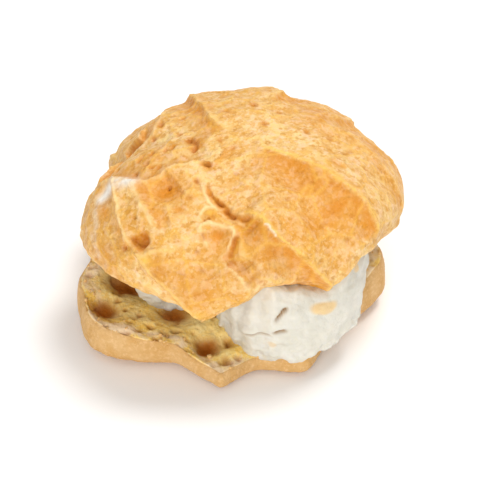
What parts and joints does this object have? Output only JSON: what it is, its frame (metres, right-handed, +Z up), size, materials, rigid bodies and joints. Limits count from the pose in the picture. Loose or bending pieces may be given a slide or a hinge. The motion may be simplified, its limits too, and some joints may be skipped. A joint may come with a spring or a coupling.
{
  "type": "cream puff",
  "caption": "Filled choux puff: a wavy baked base, white whipped cream bulging out at the front, and a cracked, ridged golden cap that rests on the cream at a slight tilt.",
  "frame": {"origin": "centre of the bounding box at its bottom, on the surface that the puff stands on", "axes": "+Z up, -Y to the front, where the cream shows, +X to the right as seen from the front"},
  "size_m": [0.0742, 0.072, 0.0446],
  "materials": {
    "crumb": "matte baked choux crumb with open pores",
    "cream": "soft, slightly moist whipped cream",
    "crust": "golden baked choux crust with a faint sheen"
  },
  "bodies": {
    "root": {"choux_base": "crumb", "cream_filling": "cream", "choux_cap": "crust"}
  },
  "joints": []
}
